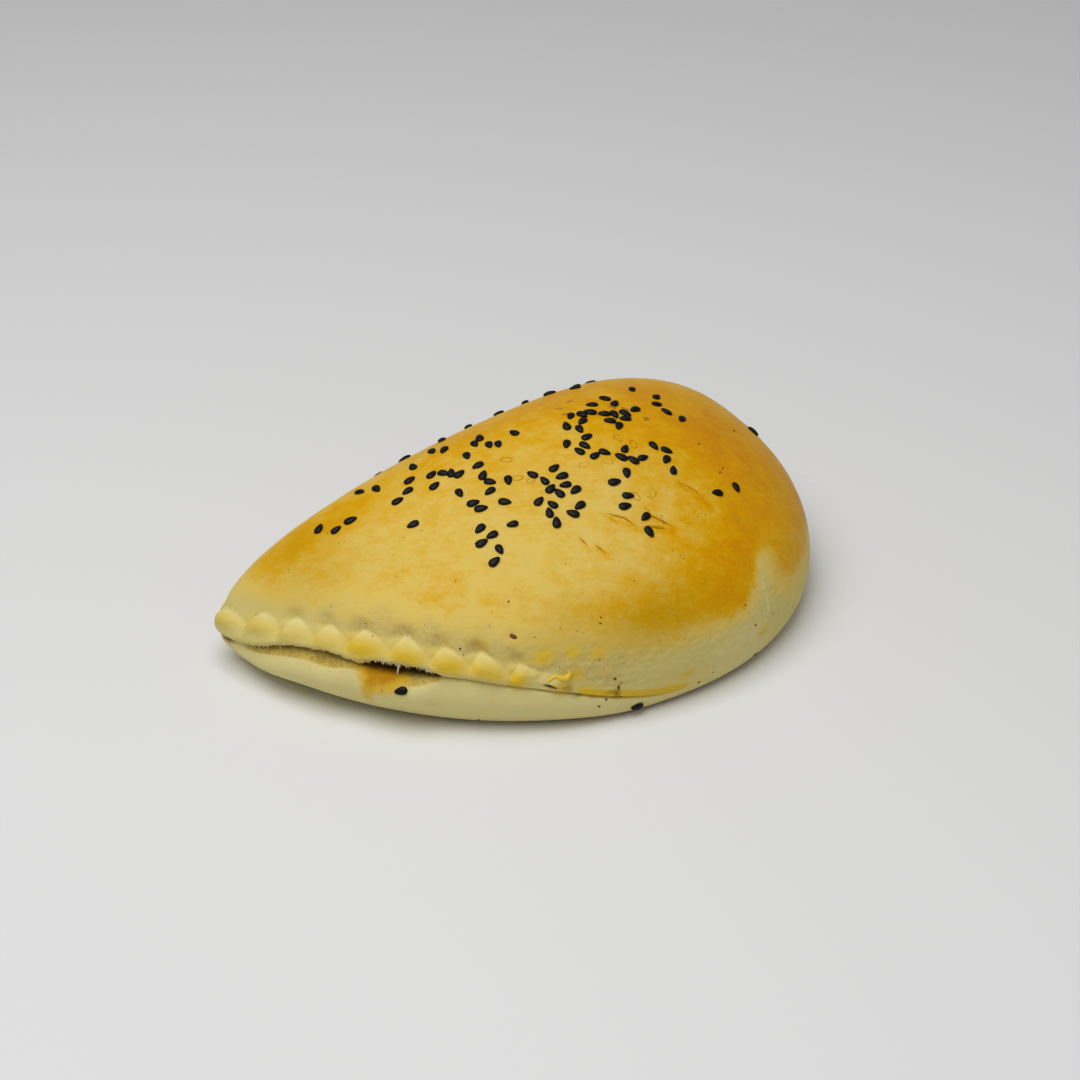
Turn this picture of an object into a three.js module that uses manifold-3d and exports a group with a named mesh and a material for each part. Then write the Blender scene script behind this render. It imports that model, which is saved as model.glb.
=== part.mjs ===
// A baked calzone: a half-moon of bread dough folded over on its +Y side and pinched shut along the
// -Y arc. The scalloped crimp starts at the pointed tip at -X, the seam below it has split open near
// the tip, and sesame seeds stick to the egg-washed crown. Millimetres, +Z up, resting on Z = 0.
import * as THREE from 'three';
import { mergeVertices } from 'three/addons/utils/BufferGeometryUtils.js';
import Module from 'manifold-3d';

// Half-moon outline seen from above: the fold lies on +Y and the crimped arc on -Y
const TIP_X = -84.5;
const FOLD_LENGTH = 170;
const FOLD_Y = 24.6;
const ARC_DEPTH = 83;
const FOLD_DEPTH = 32.5;
const TIP_SWEEP = 4.5;
const ARC_FULLNESS = { tip: 0.53, end: 0.47 };
const FOLD_FULLNESS = { tip: 0.87, end: 0.31 };

// Domed section: where the crown is, how high the dough is widest and how far the foot is tucked in
const CROWN = new THREE.Vector3(18, 7, 51.8);
const WIDEST_AT = { tip: 8.7, arc: 9.1, fold: 9.9, end: 10 };
const FOOT_INSET = { tip: 22, arc: 5, fold: 9, end: 7 };
const SHOULDER = { tip: 1.28, arc: 1.24, fold: 1.07 };
const TIP_RISE = 0.87;
const TIP_REACH = 1.5;
const END_REACH = 3;
const RIDGE_ROUND = 50;
const TIP_ROUND = 3.5;
const SWELL = 0.5;
const SWELL_WAVE = 17;

// Seam between base and lid: its height at places along the rim, measured from the tip along the arc
const SEAM_PATH = [
  [-40, 3.5], [-8, 8.6], [5, 9.2], [17, 11.4], [30, 15.2], [46, 16], [60, 15.7], [77, 15.4], [98, 11.8],
  [116, 7.2], [132, 4.2], [170, 3.5],
];
const SEAM_DEPTH = 1.5;
const SEAM_HALF = 0.6;
const SEALED = { from: -12, to: 140, fade: 30 };
const BASE_BULGE = { out: 0.9, down: 4.8, reach: 6.7 };

// Stretches where the seam has split open: middle, reach along the rim and half the opening's height
const SPLITS = [
  { at: 31, reach: 26, half: 1.1 },
  { at: 41, reach: 8, half: 0.6 },
  { at: 55, reach: 9, half: 1.9 },
  { at: 63.5, reach: 8.5, half: 1.9 },
];
const SPLIT_DEPTH = 2;
const SPLIT_CEILING = 0.82;
const SPLIT_FLOOR_SLOPE = 1.3;

// Crimped lip above the seam: pinched scallops, each with its place and its crest's height over the seam
const CRESTS = [
  [-26, 4], [-12, 6], [2.6, 7.4], [16.7, 8.8], [26.6, 6.8], [37, 6.2], [47.2, 6.7], [59.1, 7.1], [70, 5.8],
  [80.1, 5.5], [91, 5], [102, 4.4], [113, 4],
];
const CRIMPED = { from: -16, to: 98, fade: 12 };
const NOTCH_AT = 0.72;
const LOBE_ROUND = 0.5;
const LOBE_DIP = 2.4;
const VALLEY = { low: -6, high: -1.5, lowOut: 0.92, highOut: 0.3 };
const LIP = { out: 1.8, foot: 0.8, start: -0.2, face: 2.4, edge: 0.9, behind: 0.2 };
const PILLOW = { out: 0.8, down: 1.5, reach: 3.3 };
const DENTED = { from: 12, full: 34 };
const DENT = { aside: -0.06, slant: 0.05, half: 0.46, below: 0.4, low: 0.5, above: 5, depth: 1.8 };
const FLAKE = { at: 99.5, up: 2.8, half: 5, reach: 3, out: 1.5 };
const LIP_ZONE = 20;

// Seeds: one flat teardrop, sprinkled in patches over the crown, with two strays on the base
const SEED_SIZE = { length: 3.6, width: 2.2, thickness: 1.2 };
const SEED_SIDES = 7;
const SEED_BANDS = 3;
const SEED_TAPER = 0.35;
const SEED_SPREAD = 0.08;
const SEED_GAP = 2.6;
const SEED_LIFT = 0.28;
const RANDOM_START = 2207;
const SPRINKLE = [
  { x: -56, y: 17, long: 7, wide: 9, count: 3 },
  { x: -43, y: 24, long: 3, wide: 2, count: 2 },
  { x: -34, y: 4, long: 12, wide: 11, count: 9 },
  { x: -33, y: 22, long: 9, wide: 8, count: 2 },
  { x: -29, y: -18, long: 7, wide: 7, count: 6 },
  { x: -21, y: -5, long: 7, wide: 7, count: 7 },
  { x: -15, y: 16, long: 11, wide: 11, count: 9 },
  { x: -8, y: -16, long: 7, wide: 10, count: 14 },
  { x: 7, y: -7, long: 7, wide: 7, count: 5 },
  { x: 9, y: -29, long: 3, wide: 9, count: 5 },
  { x: 12, y: 2, long: 5, wide: 7, count: 6 },
  { x: 21, y: -18, long: 10, wide: 8, count: 9 },
  { x: 25, y: 3, long: 9, wide: 11, count: 11 },
  { x: 28, y: 29, long: 8, wide: 3, count: 2 },
  { x: 40, y: -29, long: 7, wide: 5, count: 2 },
  { x: 45, y: 7, long: 5, wide: 16, count: 5 },
  { x: 73, y: 3, long: 2, wide: 2, count: 1 },
  { x: -8, y: 38, long: 24, wide: 8, count: 6 },
  { x: 34, y: 40, long: 24, wide: 9, count: 7 },
];
const STRAYS = [{ place: 61, level: -0.13, heading: 0.3 }, { place: 121, level: -0.35, heading: 0.1 }];

// Facets: columns along the crimp and along the rest of the rim, and rings from the crown down
const FINE_EDGE = { from: -8, to: 108 };
const FINE_COLUMNS = 76;
const PLAIN_COLUMNS = 34;
const DOME_RINGS = 9;
const DOME_SHARE = 4;
const BEHIND_RINGS = [1, 0.65, 0.42, 0.27, 0.15, 0.06];
const CREST_RINGS = [0.15, -0.9];
const FACE_RINGS = [0.62, 0.3];
const SPLIT_RINGS = [1, 0.64, 0.2, -0.4, -1];
const BASE_RINGS = [0.25, 0.45, 0.65, 0.83, 1];
const BASE_CURVE = 1.6;
const NORMAL_STEP = 0.022;
const RIM_STEPS = 2000;
const ROUNDING = [-1, -0.5, 0, 0.5, 1];

const { sin, cos, abs, sqrt, PI } = Math;
const { clamp, lerp, smoothstep, smootherstep } = THREE.MathUtils;
const hump = (x, reach) => 0.5 + 0.5 * cos(PI * clamp(x / reach, -1, 1));
const rise = (x, { from, fade }) => smoothstep(x, from, from + fade);
const ramp = (x, zone) => rise(x, zone) * (1 - smoothstep(x, zone.to - zone.fade, zone.to));

// Closed outline at the dough's widest, from the tip round the arc and back along the fold
class HalfMoon extends THREE.Curve {
  getPoint(t, target = new THREE.Vector2()) {
    const turn = 2 * PI * t;
    const along = (1 - cos(turn)) / 2;
    const arc = -ARC_DEPTH * fullness(along, ARC_FULLNESS);
    const fold = FOLD_DEPTH * fullness(along, FOLD_FULLNESS);
    const across = sin(turn) >= 0 ? arc : fold;
    return target.set(TIP_X + FOLD_LENGTH * along, FOLD_Y + across + TIP_SWEEP * (1 - along) ** 2);
  }
}

function fullness(along, { tip, end }) {
  const widest = tip / (tip + end);
  return (along / widest) ** tip * ((1 - along) / (1 - widest)) ** end;
}

const rim = new HalfMoon();
rim.arcLengthDivisions = RIM_STEPS;
const RIM_LENGTH = rim.getLength();
const shareOf = (place) => ((place + RIM_LENGTH) % RIM_LENGTH) / RIM_LENGTH;
const fromTip = (place) => (place > RIM_LENGTH / 2 ? place - RIM_LENGTH : place);

// The step of a path of [place, height] pairs that a place falls in, and how far along the step it is
function stepAt(path, place) {
  const found = path.findIndex(([at]) => at > place);
  const next = found < 0 ? path.length - 1 : Math.max(found, 1);
  const [from] = path[next - 1];
  const [to] = path[next];
  return { next, share: clamp((place - from) / (to - from), 0, 1) };
}

// The seam's height over the tray: a smooth curve through its path
function seamHeight(place) {
  const slopeAt = (k) => {
    if (k === 0 || k === SEAM_PATH.length - 1) return 0;
    return (SEAM_PATH[k + 1][1] - SEAM_PATH[k - 1][1]) / (SEAM_PATH[k + 1][0] - SEAM_PATH[k - 1][0]);
  };
  const { next, share } = stepAt(SEAM_PATH, place);
  const [from, low] = SEAM_PATH[next - 1];
  const [to, high] = SEAM_PATH[next];
  const bend = slopeAt(next - 1) * (1 - share) - slopeAt(next) * share;
  return lerp(low, high, smoothstep(share, 0, 1)) + (to - from) * share * (1 - share) * bend;
}

function splitGap(place) {
  return SPLITS.reduce((sum, { at, reach, half }) => sum + half * hump(place - at, reach), 0);
}

// The scallop at a place: its count, its crest's height over the seam and its fullness, 0 in the notches
function scallop(place) {
  const { next, share } = stepAt(CRESTS, place);
  const turn = next - 1 + share;
  const past = turn % 1;
  const angle = past < NOTCH_AT ? past / NOTCH_AT : 1 + (past - NOTCH_AT) / (1 - NOTCH_AT);
  return {
    turn,
    crest: lerp(CRESTS[next - 1][1], CRESTS[next][1], share),
    lobe: (0.5 + 0.5 * cos(PI * angle)) ** LOBE_ROUND,
  };
}

// Scalloped ledge of the crimp and the finger dents behind its crests, at a height over the seam
function crimp(place, height) {
  const { turn, crest, lobe } = scallop(place);
  const overCrest = height - crest;
  const sunk = overCrest + LOBE_DIP * (1 - lobe);
  const face = smoothstep(height - splitGap(place) * LIP.foot, LIP.start, LIP.face);
  const valley = lerp(VALLEY.lowOut, VALLEY.highOut, smoothstep(overCrest, VALLEY.low, VALLEY.high));
  const pillow = lobe * (1 - smoothstep(abs(sunk + PILLOW.down), 0, PILLOW.reach));
  const ledge = LIP.out * face * lerp(valley, 1, lobe) + PILLOW.out * pillow;
  const dentTurn = turn + DENT.slant * overCrest - DENT.aside;
  const beside = abs(dentTurn - Math.round(dentTurn));
  const across = (1 - smoothstep(beside, 0, DENT.half)) * smoothstep(place, DENTED.from, DENTED.full);
  const rising = 1 - smootherstep(overCrest, DENT.low, DENT.above);
  const upward = smoothstep(overCrest, -DENT.below, DENT.low) * rising;
  const standing = ledge * (1 - smoothstep(sunk, -LIP.edge, LIP.behind));
  return ramp(place, CRIMPED) * (standing - DENT.depth * across * upward);
}

// How deep the seam is open at a height: its floor slopes in from the lower edge to a ceiling under the lip
function seamGroove(place, height) {
  const gap = splitGap(place);
  const up = clamp((height / (SEAM_HALF + gap) + 1) / 2, 0, 1);
  const slope = clamp(up / SPLIT_CEILING, 0, 1) ** SPLIT_FLOOR_SLOPE;
  const depth = SEAM_DEPTH * ramp(place, SEALED) + SPLIT_DEPTH * gap;
  return depth * slope * (1 - smoothstep(up, SPLIT_CEILING, 1));
}

// How far the edge stands out of the smooth dough: crimp, flake and base bulge, less the seam's groove
function relief(place, height) {
  const flake = FLAKE.out * hump(place - FLAKE.at, FLAKE.half) * hump(height - FLAKE.up, FLAKE.reach);
  const bulge = BASE_BULGE.out * (1 + splitGap(place)) * hump(height + BASE_BULGE.down, BASE_BULGE.reach);
  return crimp(place, height) + flake + ramp(place, SEALED) * bulge - seamGroove(place, height);
}

// The dough's section at one place along the rim
function section(place) {
  const t = rim.getUtoTmapping(shareOf(place));
  const turn = 2 * PI * t;
  const tip = ((1 + cos(turn)) / 2) ** TIP_REACH;
  const end = ((1 - cos(turn)) / 2) ** END_REACH;
  const side = sin(turn) >= 0 ? 'arc' : 'fold';
  const before = rim.getPoint((t - NORMAL_STEP + 1) % 1);
  const after = rim.getPoint((t + NORMAL_STEP) % 1);
  return {
    out: new THREE.Vector2(after.y - before.y, before.x - after.x).normalize(),
    seam: seamHeight(place),
    widest: lerp(lerp(WIDEST_AT[side], WIDEST_AT.end, end), WIDEST_AT.tip, tip),
    inset: lerp(lerp(FOOT_INSET[side], FOOT_INSET.end, end), FOOT_INSET.tip, tip ** 4),
    shoulder: 1 + (SHOULDER.tip - 1) * tip + (SHOULDER[side] - 1) * abs(sin(turn)) * (1 - tip),
    rise: lerp(1, TIP_RISE, tip),
  };
}

// Slope at which the dome starts above the lip zone, as an angle up its bow
function domeStart({ seam, widest, rise }) {
  return Math.asin(((seam + LIP_ZONE - widest) / (CROWN.z - widest)) ** (1 / rise));
}

// The rim softened over a reach to both sides, so that the tip and the ridge behind it come out round
function roundedRim(place, reach) {
  const edge = new THREE.Vector2();
  ROUNDING.forEach((share) => edge.add(rim.getPointAt(shareOf(place + share * reach))));
  return edge.divideScalar(ROUNDING.length);
}

function swell(x, y) {
  return SWELL * (sin(x / SWELL_WAVE + 1) * cos(y / SWELL_WAVE) + sin((x + y) / (2 * SWELL_WAVE)));
}

// A point of the skin. Level -1 is the foot's edge, 0 the seam, 1 the top of the lip zone and 2 the crown
function skin(rimPlace, level) {
  const place = fromTip(rimPlace);
  const cut = section(place);
  const dome = CROWN.z - cut.widest;
  const bow = lerp(domeStart(cut), PI / 2, clamp(level - 1, 0, 1));
  let z = level <= 0 ? cut.seam * (1 + level) ** BASE_CURVE : cut.seam + LIP_ZONE * level;
  z = level > 1 ? cut.widest + dome * sin(bow) ** cut.rise : z;
  const climb = clamp((z - cut.widest) / dome, 0, 1) ** (1 / cut.rise);
  const reach = (1 - climb ** 2) ** (cut.shoulder / 2);
  const tuck = cut.inset * (1 - sqrt(1 - clamp(1 - z / cut.widest, 0, 1) ** 2));
  const spoke = roundedRim(place, TIP_ROUND + RIDGE_ROUND * (1 - reach)).sub(CROWN);
  spoke.multiplyScalar(reach - tuck / spoke.length());
  const { x, y } = spoke.addScaledVector(cut.out, relief(place, z - cut.seam)).add(CROWN);
  return new THREE.Vector3(x, y, z + swell(x, y) * smoothstep(z - cut.seam, LIP_ZONE / 2, LIP_ZONE));
}

// Place along the rim and level of the skin's point that lies over a point of the plan
function placeOver(spot) {
  const bearingOf = (point) => Math.atan2(point.y - CROWN.y, point.x - CROWN.x);
  const fromTipBearing = (point) => (bearingOf(point) - bearingOf(rim.getPoint(0)) + 2 * PI) % (2 * PI);
  let low = 0;
  let high = RIM_LENGTH;
  while (high - low > 0.01) {
    const middle = (low + high) / 2;
    const ahead = fromTipBearing(rim.getPointAt(shareOf(middle))) > fromTipBearing(spot);
    [low, high] = ahead ? [low, middle] : [middle, high];
  }
  const place = fromTip(low);
  const cut = section(place);
  const reach = spot.clone().sub(CROWN).length() / rim.getPointAt(shareOf(place)).sub(CROWN).length();
  const bow = Math.acos(clamp(reach, 0, 1) ** (1 / cut.shoulder));
  const start = domeStart(cut);
  const height = cut.widest + (CROWN.z - cut.widest) * sin(bow) ** cut.rise;
  const level = bow > start ? 1 + (bow - start) / (PI / 2 - start) : (height - cut.seam) / LIP_ZONE;
  return { place, level };
}

// Levels of the rings below the dome at a place, from the top of the lip zone down to the foot. They keep
// to the scallop's crest and to the edges of the split
function edgeLevels(rimPlace) {
  const place = fromTip(rimPlace);
  const { crest, lobe } = scallop(place);
  const top = crest - LOBE_DIP * (1 - lobe) * ramp(place, CRIMPED);
  const half = SEAM_HALF + splitGap(place);
  const seam = seamHeight(place);
  const heights = [
    ...BEHIND_RINGS.map((share) => lerp(top, LIP_ZONE, share)),
    ...CREST_RINGS.map((over) => top + over),
    ...FACE_RINGS.map((share) => lerp(half, top + CREST_RINGS.at(-1), share)),
    ...SPLIT_RINGS.map((share) => share * half),
    ...BASE_RINGS.map((share) => -lerp(half, seam, share)),
  ];
  return heights.map((height) => {
    const low = clamp(1 + height / seam, 0, 1) ** (1 / BASE_CURVE) - 1;
    return height > 0 ? height / LIP_ZONE : low;
  });
}

// Dough body: a sphere's grid of columns and rings, each vertex moved to its place on the skin.
// Over the crown neighbouring fine columns share one place, so the facets there stay coarse
function doughGeometry() {
  const fineStep = (FINE_EDGE.to - FINE_EDGE.from) / FINE_COLUMNS;
  const plainStep = (RIM_LENGTH - FINE_EDGE.to + FINE_EDGE.from) / PLAIN_COLUMNS;
  const columns = FINE_COLUMNS + PLAIN_COLUMNS;
  const placeOf = (column, share) => {
    const fine = share * Math.round(Math.min(column, FINE_COLUMNS) / share);
    return FINE_EDGE.from + fineStep * fine + plainStep * Math.max(column - FINE_COLUMNS, 0);
  };
  const domeLevels = Array.from({ length: DOME_RINGS }, (_, ring) => 2 - ring / DOME_RINGS);
  const rings = domeLevels.length + edgeLevels(0).length;
  const grid = new THREE.SphereGeometry(1, columns, rings);
  for (let column = 0; column <= columns; column += 1) {
    const levels = [...domeLevels, ...edgeLevels(placeOf(column % columns, 1))];
    levels.forEach((level, ring) => {
      const point = skin(placeOf(column % columns, level > 1 ? DOME_SHARE : 1), level);
      grid.attributes.position.setXYZ(ring * (columns + 1) + column, point.x, point.y, point.z);
    });
    grid.attributes.position.setXYZ(rings * (columns + 1) + column, CROWN.x, CROWN.y, 0);
  }
  return grid;
}

// Seeded random draws between 0 and 1
let randomState = RANDOM_START;
function draw() {
  randomState = (randomState * 48271) % 2147483647;
  return randomState / 2147483647;
}

// One seed lying on the skin: a flat teardrop with its point at one end, half sunk in the crust
function seedGeometry({ place, level, heading }, size) {
  const seed = new THREE.SphereGeometry(size, SEED_SIDES, SEED_BANDS).rotateX(PI / 2);
  const { position } = seed.attributes;
  for (let i = 0; i < position.count; i += 1) {
    position.setY(i, position.getY(i) * (1 + SEED_TAPER * position.getX(i)));
  }
  const waist = 2 * sin(PI / SEED_BANDS);
  seed.scale(SEED_SIZE.length / waist, SEED_SIZE.width / waist, SEED_SIZE.thickness / 2);
  const along = skin(place + 0.5, level).sub(skin(place - 0.5, level)).normalize();
  const upward = skin(place, level + 0.01).sub(skin(place, level - 0.01));
  const normal = along.clone().cross(upward).normalize();
  const ahead = along.applyAxisAngle(normal, heading);
  const basis = new THREE.Matrix4().makeBasis(ahead, normal.clone().cross(ahead), normal);
  return seed.applyMatrix4(basis.setPosition(skin(place, level).addScaledVector(normal, SEED_LIFT)));
}

// Seeds drawn patch by patch, each clear of those already lying there
function sprinkledSeeds() {
  const lying = [];
  SPRINKLE.forEach(({ x, y, long, wide, count }) => {
    let left = count;
    while (left > 0) {
      const reach = sqrt(draw());
      const turn = 2 * PI * draw();
      const spot = new THREE.Vector2(x + long * reach * cos(turn), y + wide * reach * sin(turn));
      if (lying.every((other) => other.distanceTo(spot) > SEED_GAP)) {
        lying.push(spot);
        left -= 1;
      }
    }
  });
  const scattered = lying.map((spot) => ({ ...placeOver(spot), heading: 2 * PI * draw() }));
  return [...scattered, ...STRAYS].map((seed) => seedGeometry(seed, 1 + SEED_SPREAD * (2 * draw() - 1)));
}

const wasm = await Module();
wasm.setup();

// A closed solid of a geometry, without the triangles that shared places have closed up
function solid(geometry) {
  geometry.deleteAttribute('normal');
  geometry.deleteAttribute('uv');
  const { index, attributes } = mergeVertices(geometry);
  const corners = [];
  for (let i = 0; i < index.count; i += 3) {
    const triangle = [index.getX(i), index.getX(i + 1), index.getX(i + 2)];
    if (new Set(triangle).size === 3) corners.push(...triangle);
  }
  const vertProperties = new Float32Array(attributes.position.array);
  const triVerts = new Uint32Array(corners);
  return new wasm.Manifold(new wasm.Mesh({ numProp: 3, vertProperties, triVerts }));
}

function geometryOf(manifold) {
  const { vertProperties, triVerts } = manifold.getMesh();
  const geometry = new THREE.BufferGeometry();
  geometry.setAttribute('position', new THREE.BufferAttribute(vertProperties, 3));
  geometry.setIndex(new THREE.BufferAttribute(triVerts, 1));
  geometry.computeVertexNormals();
  return geometry;
}

const dough = solid(doughGeometry());
const seeded = sprinkledSeeds().reduce((whole, seed) => whole.add(solid(seed)), dough);
const crust = new THREE.MeshStandardMaterial({ color: '#d9b25a', roughness: 0.5, metalness: 0 });
const calzone = new THREE.Mesh(geometryOf(seeded), crust);
calzone.name = 'calzone';

const group = new THREE.Group();
group.add(calzone);

export default group;
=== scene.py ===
# The baked calzone's looks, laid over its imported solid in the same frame, in metres.
import math
import bpy
import numpy as np
from mathutils import Matrix, Vector


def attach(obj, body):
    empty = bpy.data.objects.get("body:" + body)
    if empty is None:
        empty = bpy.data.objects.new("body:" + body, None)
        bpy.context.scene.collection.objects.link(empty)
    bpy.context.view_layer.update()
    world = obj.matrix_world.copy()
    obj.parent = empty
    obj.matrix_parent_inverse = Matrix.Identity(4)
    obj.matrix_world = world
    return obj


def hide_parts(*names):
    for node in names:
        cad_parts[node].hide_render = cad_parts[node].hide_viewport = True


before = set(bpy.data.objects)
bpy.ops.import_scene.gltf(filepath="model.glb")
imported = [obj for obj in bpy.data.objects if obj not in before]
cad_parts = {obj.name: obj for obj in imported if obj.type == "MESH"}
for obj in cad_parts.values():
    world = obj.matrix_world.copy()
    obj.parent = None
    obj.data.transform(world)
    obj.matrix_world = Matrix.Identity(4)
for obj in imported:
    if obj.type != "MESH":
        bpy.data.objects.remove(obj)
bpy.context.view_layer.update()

# The dough is one round sheet of wheat dough, folded over into a half moon and drawn out to a tip.
# Its open edge is rolled up and pinched shut by hand, then the whole is brushed with egg and baked on
# a tray, so it is golden on top and pale at the hem, and the seam has torn open near the tip.
MM = 0.001
TIP_X, FOLD_LENGTH, FOLD_Y = -84.5, 170.0, 24.6
ARC_DEPTH, FOLD_DEPTH, TIP_SWEEP = 83.0, 32.5, 4.5
ARC_FULLNESS, FOLD_FULLNESS = (0.53, 0.47), (0.87, 0.31)
CROWN = np.array([18.0, 7.0, 51.8])
WIDEST_AT = {"tip": 8.7, "arc": 9.1, "fold": 9.9, "end": 10.0}
FOOT_INSET = {"tip": 22.0, "arc": 5.0, "fold": 9.0, "end": 7.0}
SHOULDER = {"tip": 1.28, "arc": 1.24, "fold": 1.07}
TIP_RISE, TIP_REACH, END_REACH, RIDGE_ROUND, TIP_ROUND = 0.87, 1.5, 3, 50.0, 3.5
SWELL, SWELL_WAVE = 0.5, 17.0
SEAM_PATH = np.array([
    (-40, 3.5), (-8, 8.6), (5, 9.2), (17, 11.4), (30, 15.2), (46, 16.0), (60, 15.7), (77, 15.4), (98, 11.8),
    (116, 7.2), (132, 4.2), (170, 3.5)])
SEAM_DEPTH, SEAM_HALF, SEALED = 1.5, 0.6, (-12, 140, 30)
PRESSED_SHUT = {"at": 13, "reach": 9, "share": 0.75}
SHALLOW_SPLIT = {"share": 0.6, "until": (34, 50)}
BASE_BULGE = {"out": 0.9, "down": 4.8, "reach": 6.7}
SPLITS = [(31, 26, 1.1), (41, 8, 0.6), (55, 9, 1.9), (63.5, 8.5, 1.9)]
SPLIT_DEPTH, CEILING, FLOOR_SLOPE = 2.0, 0.82, 1.3
FLAKE = {"at": 99.5, "up": 2.8, "half": 5.0, "reach": 3.0, "out": 1.5}
FLAKE_SLIT = {"at": 98.0, "up": 1.5, "half": 2.6, "reach": 0.7, "depth": 1.4, "bow": 0.5}
PINCHED = (-16, 98, 12)
CRESTS = np.array([
    (-26, 4.0), (-12, 6.0), (2.6, 7.4), (16.7, 8.8), (26.6, 6.8), (37, 6.2), (47.2, 6.7), (59.1, 7.1),
    (70, 5.8), (80.1, 5.5), (91, 5.0), (102, 4.4), (113, 4.0)])
LIP_ZONE, BASE_CURVE, NORMAL_STEP = 20.0, 1.6, 0.022


def ease(x, low, high):
    t = np.clip((x - low) / (high - low), 0, 1)
    return t * t * (3 - 2 * t)


def hump(x, reach):
    return 0.5 + 0.5 * np.cos(np.pi * np.clip(x / reach, -1, 1))


def stretch(x, start, stop, fade):
    return ease(x, start, start + fade) * (1 - ease(x, stop - fade, stop))


def fullness(along, tip, end):
    widest = tip / (tip + end)
    return (along / widest) ** tip * ((1 - along) / (1 - widest)) ** end


def rim_point(share):
    turn = 2 * np.pi * np.asarray(share)
    along = np.clip((1 - np.cos(turn)) / 2, 0, 1)
    arc, fold = -ARC_DEPTH * fullness(along, *ARC_FULLNESS), FOLD_DEPTH * fullness(along, *FOLD_FULLNESS)
    across = np.where(np.sin(turn) >= 0, arc, fold)
    return np.stack([TIP_X + FOLD_LENGTH * along, FOLD_Y + across + TIP_SWEEP * (1 - along) ** 2], -1)


RIM_SHARE = np.linspace(0, 1, 2001)
RIM_STEPS = np.linalg.norm(np.diff(rim_point(RIM_SHARE), axis=0), axis=1)
RIM_PLACE = np.concatenate([[0], np.cumsum(RIM_STEPS)])
RIM_LENGTH = RIM_PLACE[-1]


def rim_share(place):
    return np.interp(place % RIM_LENGTH, RIM_PLACE, RIM_SHARE)


def seam_height(place):
    """The seam's height over the tray: a smooth curve through its path."""
    at, high = SEAM_PATH.T
    slope = np.zeros(len(at))
    slope[1:-1] = (high[2:] - high[:-2]) / (at[2:] - at[:-2])
    k = np.clip(np.searchsorted(at, place, side="right") - 1, 0, len(at) - 2)
    step, climb = at[k + 1] - at[k], high[k + 1] - high[k]
    t = np.clip((place - at[k]) / step, 0, 1)
    bend = slope[k] * (1 - t) - slope[k + 1] * t
    return high[k] + climb * t * t * (3 - 2 * t) + step * t * (1 - t) * bend


def split_gap(place):
    return sum(half * hump(place - at, reach) for at, reach, half in SPLITS)


def opening(place, height):
    """How far up the seam's opening a height lies: 0 at its lower edge, 1 at its ceiling."""
    return np.clip((height / (SEAM_HALF + split_gap(place)) + 1) / 2, 0, 1)


def dab(place, height, form):
    return hump(place - form["at"], form["half"]) * hump(height - form["up"], form["reach"])


def seam_relief(place, height):
    gap, sealed, up = split_gap(place), stretch(place, *SEALED), opening(place, height)
    base = sealed * BASE_BULGE["out"] * (1 + gap) * hump(height + BASE_BULGE["down"], BASE_BULGE["reach"])
    inside = np.clip(up / CEILING, 0, 1) ** FLOOR_SLOPE * (1 - ease(up, CEILING, 1))
    along_slit = hump(place - FLAKE_SLIT["at"], FLAKE_SLIT["half"])
    slit_up = height - FLAKE_SLIT["up"] - FLAKE_SLIT["bow"] * along_slit
    slit = FLAKE_SLIT["depth"] * along_slit * hump(slit_up, FLAKE_SLIT["reach"])
    shallow = SHALLOW_SPLIT["share"]
    inside = inside * (shallow + (1 - shallow) * ease(place, *SHALLOW_SPLIT["until"]))
    shut = PRESSED_SHUT["share"] * hump(place - PRESSED_SHUT["at"], PRESSED_SHUT["reach"])
    depth = SEAM_DEPTH * sealed * (1 - shut) + SPLIT_DEPTH * gap
    return base + FLAKE["out"] * dab(place, height, FLAKE) - slit - inside * depth


def section(place):
    share = rim_share(place)
    turn = 2 * np.pi * share
    tip, end = ((1 + np.cos(turn)) / 2) ** TIP_REACH, ((1 - np.cos(turn)) / 2) ** END_REACH
    on_arc = np.sin(turn) >= 0
    chord = rim_point((share + NORMAL_STEP) % 1) - rim_point((share - NORMAL_STEP) % 1)
    outward = np.stack([chord[..., 1], -chord[..., 0]], -1) / np.linalg.norm(chord, axis=-1, keepdims=True)
    widest = np.where(on_arc, WIDEST_AT["arc"], WIDEST_AT["fold"]) * (1 - end) + WIDEST_AT["end"] * end
    inset = np.where(on_arc, FOOT_INSET["arc"], FOOT_INSET["fold"]) * (1 - end) + FOOT_INSET["end"] * end
    side = np.where(on_arc, SHOULDER["arc"], SHOULDER["fold"]) - 1
    return {
        "outward": outward,
        "seam": seam_height(place),
        "widest": widest * (1 - tip) + WIDEST_AT["tip"] * tip,
        "inset": inset * (1 - tip ** 4) + FOOT_INSET["tip"] * tip ** 4,
        "shoulder": 1 + (SHOULDER["tip"] - 1) * tip + side * np.abs(np.sin(turn)) * (1 - tip),
        "rise": 1 - (1 - TIP_RISE) * tip,
    }


def dome_start(cut):
    dome = CROWN[2] - cut["widest"]
    return np.arcsin(((cut["seam"] + LIP_ZONE - cut["widest"]) / dome) ** (1 / cut["rise"]))


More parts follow.
